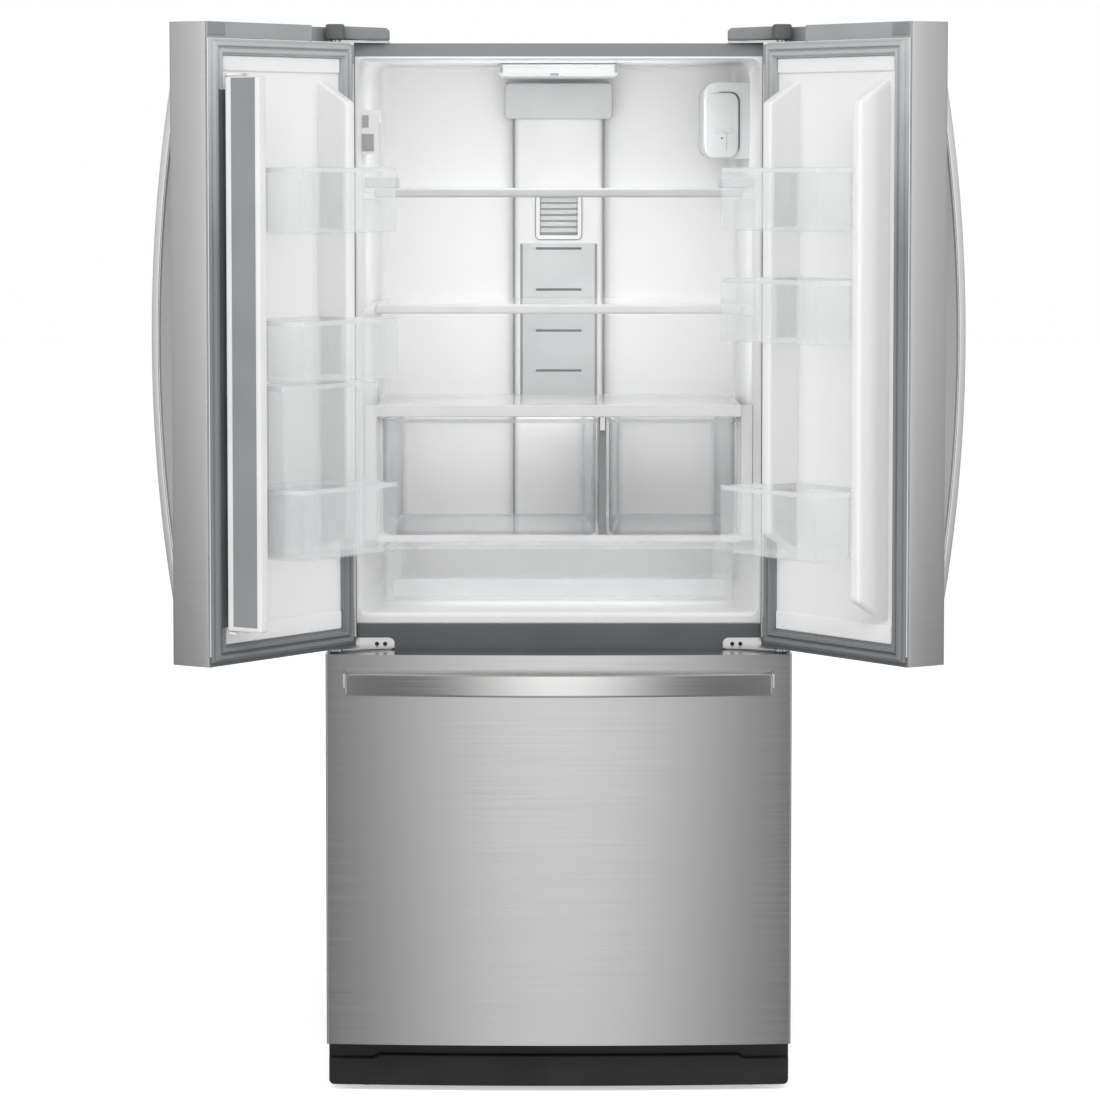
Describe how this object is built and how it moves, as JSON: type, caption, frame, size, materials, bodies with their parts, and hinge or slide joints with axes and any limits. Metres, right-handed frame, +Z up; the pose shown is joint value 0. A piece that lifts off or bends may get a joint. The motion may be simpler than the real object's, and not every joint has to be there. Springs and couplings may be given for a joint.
{
  "type": "french door refrigerator",
  "caption": "Free-standing steel-front refrigerator with french doors standing open over glass shelves and clear drawers, and a pull-out freezer drawer below.",
  "frame": {"origin": "on the floor, under the middle of the bounding box with the doors at their rest angle", "axes": "+Z up, -Y towards the person who opens the doors, +X to that person's right"},
  "size_m": [1.2644, 1.0754, 1.719],
  "materials": {
    "charcoal_steel": "satin",
    "grey_back": "satin",
    "insulation": "matte",
    "white_lining": "satin",
    "white_plastic": "satin",
    "stainless": "satin",
    "grey_cap": "matte",
    "gasket_grey": "matte",
    "clear_plastic": "gloss",
    "shelf_glass": "gloss",
    "black_plastic": "matte",
    "zinc_steel": "satin",
    "roller_nylon": "matte",
    "galvanised": "satin",
    "coil_aluminium": "satin",
    "black_enamel": "gloss",
    "grey_plastic": "matte"
  },
  "bodies": {
    "cabinet": {"cabinet_shell": "charcoal_steel", "fresh_food_liner": "white_lining", "freezer_liner": "white_lining", "divider_rail": "charcoal_steel", "cabinet_foam": "insulation", "back_panel": "grey_back", "base_frame": "galvanised", "levelling_feet": "black_plastic", "toe_grille": "black_plastic", "glass_shelves": "shelf_glass", "shelf_trims": "white_plastic", "crisper_frame": "white_plastic", "crisper_cover": "shelf_glass", "air_tower": "white_plastic", "control_housing": "white_plastic", "filter_housing": "white_plastic", "dispenser_housing": "white_plastic", "evaporator_cover": "white_lining", "evaporator": "coil_aluminium", "fan_motors": "galvanised", "compressor": "black_enamel", "condenser": "coil_aluminium", "machine_cover": "black_plastic", "top_hinges": "zinc_steel", "hinge_covers": "grey_cap", "centre_hinges": "zinc_steel", "freezer_rails": "zinc_steel"},
    "left_door": {"left_door_skin": "stainless", "left_door_foam": "insulation", "left_door_caps": "grey_cap", "left_door_liner": "white_lining", "left_door_gasket": "gasket_grey", "left_door_bins": "clear_plastic", "left_door_handle": "stainless"},
    "right_door": {"right_door_skin": "stainless", "right_door_foam": "insulation", "right_door_caps": "grey_cap", "right_door_liner": "white_lining", "right_door_gasket": "gasket_grey", "right_door_bins": "clear_plastic", "right_door_handle": "stainless"},
    "flip_mullion": {"flip_mullion": "white_plastic"},
    "freezer_drawer": {"drawer_skin": "stainless", "drawer_foam": "insulation", "drawer_liner": "white_lining", "drawer_gasket": "gasket_grey", "drawer_handle": "stainless", "drawer_slides": "zinc_steel", "freezer_basket": "white_plastic"},
    "upper_basket": {"upper_basket": "white_plastic"},
    "crisper_left": {"crisper_left": "clear_plastic"},
    "crisper_right": {"crisper_right": "clear_plastic"},
    "pantry_drawer": {"pantry_drawer": "clear_plastic"},
    "humidity_slider": {"humidity_slider": "white_plastic"},
    "front_rollers": {"front_rollers": "roller_nylon"},
    "rear_rollers": {"rear_rollers": "roller_nylon"},
    "evaporator_fan": {"evaporator_fan": "black_plastic"},
    "condenser_fan": {"condenser_fan": "black_plastic"},
    "dispenser_paddle": {"dispenser_paddle": "grey_plastic"}
  },
  "joints": [
    {"name": "left_door_hinge", "type": "hinge", "parent": "cabinet", "child": "left_door", "pos_m": [-0.357, -0.19532, 0.726], "axis": [0, 0, -1], "range_deg": [-124.8, 5.2]},
    {"name": "right_door_hinge", "type": "hinge", "parent": "cabinet", "child": "right_door", "pos_m": [0.357, -0.19532, 0.726], "axis": [0, 0, 1], "range_deg": [-124.8, 5.2]},
    {"name": "flip_mullion_hinge", "type": "hinge", "parent": "left_door", "child": "flip_mullion", "pos_m": [-0.50051, -0.4938, 0.782], "axis": [0, 0, 1], "range_deg": [-90, 0]},
    {"name": "freezer_drawer_slide", "type": "slide", "parent": "cabinet", "child": "freezer_drawer", "axis": [0, -1, 0], "range_m": [0, 0.38]},
    {"name": "upper_basket_slide", "type": "slide", "parent": "freezer_drawer", "child": "upper_basket", "axis": [0, 1, 0], "range_m": [0, 0.15]},
    {"name": "crisper_left_slide", "type": "slide", "parent": "cabinet", "child": "crisper_left", "axis": [0, -1, 0], "range_m": [0, 0.25]},
    {"name": "crisper_right_slide", "type": "slide", "parent": "cabinet", "child": "crisper_right", "axis": [0, -1, 0], "range_m": [0, 0.25]},
    {"name": "pantry_drawer_slide", "type": "slide", "parent": "cabinet", "child": "pantry_drawer", "axis": [0, -1, 0], "range_m": [0, 0.25]},
    {"name": "humidity_slide", "type": "slide", "parent": "cabinet", "child": "humidity_slider", "axis": [1, 0, 0], "range_m": [-0.005, 0.005]},
    {"name": "front_roller_spin", "type": "hinge", "parent": "cabinet", "child": "front_rollers", "pos_m": [0, -0.04332, 0.021], "axis": [1, 0, 0], "continuous": true},
    {"name": "rear_roller_spin", "type": "hinge", "parent": "cabinet", "child": "rear_rollers", "pos_m": [0, 0.46668, 0.02], "axis": [1, 0, 0], "continuous": true},
    {"name": "evaporator_fan_spin", "type": "hinge", "parent": "cabinet", "child": "evaporator_fan", "pos_m": [0, 0.37768, 0.608], "axis": [0, 1, 0], "continuous": true},
    {"name": "condenser_fan_spin", "type": "hinge", "parent": "cabinet", "child": "condenser_fan", "pos_m": [0.027, 0.42668, 0.14], "axis": [1, 0, 0], "continuous": true},
    {"name": "dispenser_paddle_hinge", "type": "hinge", "parent": "cabinet", "child": "dispenser_paddle", "pos_m": [-0.3025, -0.00332, 1.55797], "axis": [0, 1, 0], "range_deg": [0, 8], "stiffness_Nm_per_rad": 0.05}
  ]
}
